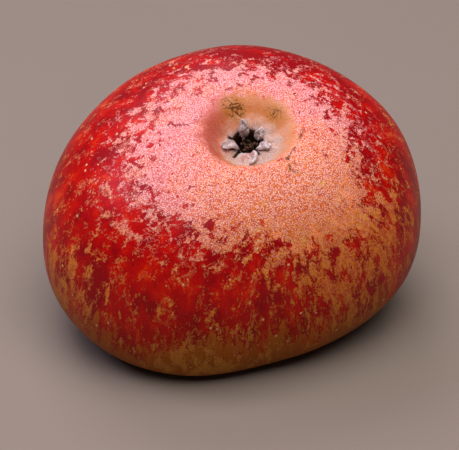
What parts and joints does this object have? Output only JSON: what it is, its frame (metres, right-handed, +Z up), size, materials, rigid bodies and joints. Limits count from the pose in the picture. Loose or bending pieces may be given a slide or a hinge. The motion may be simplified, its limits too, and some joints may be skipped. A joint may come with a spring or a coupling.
{
  "type": "apple",
  "caption": "Whole ripe red apple that rests on its stem end, with a shallow basin round the dried eye and a short stem in the cavity underneath.",
  "frame": {"origin": "on the ground, under the middle of the fruit's outline", "axes": "+Z up, -Y the front that the eye leans towards, +X to the right seen from the front"},
  "size_m": [0.0774, 0.0715, 0.0535],
  "materials": {
    "apple_skin": "waxy satin, crimson mottled over orange yellow",
    "dried_sepals": "dry grey felt",
    "dried_stamens": "dry dark brown",
    "stem_wood": "dry brown bark"
  },
  "bodies": {
    "root": {"fruit_body": "apple_skin", "calyx_sepals": "dried_sepals", "stamen_tuft": "dried_stamens", "stem": "stem_wood"}
  },
  "joints": []
}
